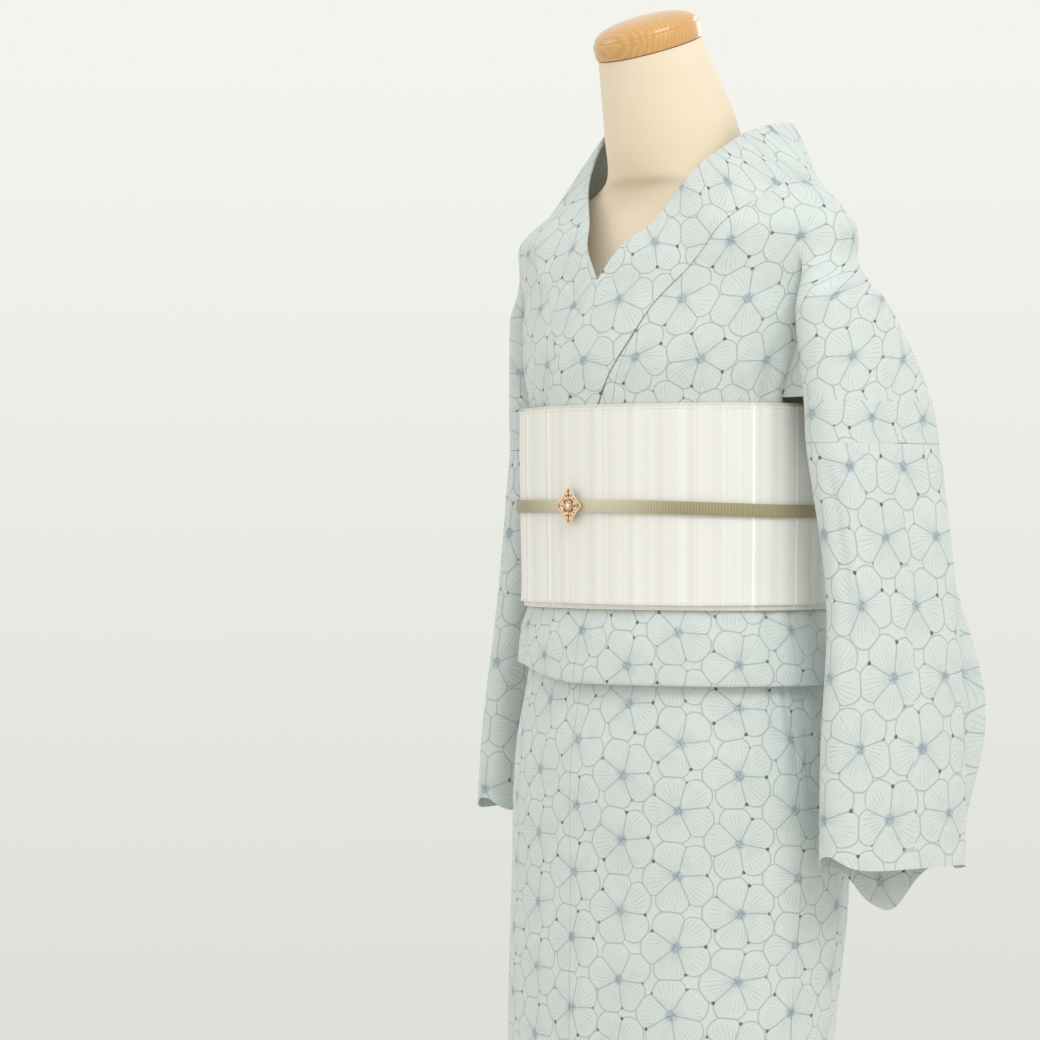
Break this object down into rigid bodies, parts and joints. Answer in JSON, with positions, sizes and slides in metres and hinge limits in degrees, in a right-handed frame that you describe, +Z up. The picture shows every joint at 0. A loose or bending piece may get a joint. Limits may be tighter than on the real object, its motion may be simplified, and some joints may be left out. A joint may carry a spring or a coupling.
{
  "type": "kimono on dress form",
  "caption": "Pale blue-green lace kimono with a wide off-white sash, flat cord and clasp, on a limbless dress form.",
  "frame": {"origin": "centre of the stand base's underside", "axes": "+Z up along the stand's pole, the wearer faces -Y, the wearer's left is +X"},
  "size_m": [0.4597, 0.344, 1.4784],
  "materials": {
    "lace": "matt embroidered cotton lace",
    "sash_cloth": "matt woven stripe",
    "cord": "flat braid",
    "gold": "polished",
    "form_cloth": "smooth stretched jersey",
    "wood": "varnished",
    "steel": "brushed"
  },
  "bodies": {
    "root": {"front_left": "lace", "front_left_shoulder": "lace", "front_right": "lace", "front_right_shoulder": "lace", "back_left": "lace", "back_left_shoulder": "lace", "back_right": "lace", "back_right_shoulder": "lace", "overlap_left": "lace", "overlap_right": "lace", "collar": "lace", "sleeve_left": "lace", "sleeve_right": "lace", "belt_inner_wrap": "sash_cloth", "belt_outer_wrap": "sash_cloth", "belt_tail": "sash_cloth", "belt_cord": "cord", "cord_knot": "cord", "clasp": "gold", "form_body": "form_cloth", "form_cap": "wood", "stand_pole": "steel", "stand_base": "wood"}
  },
  "joints": []
}
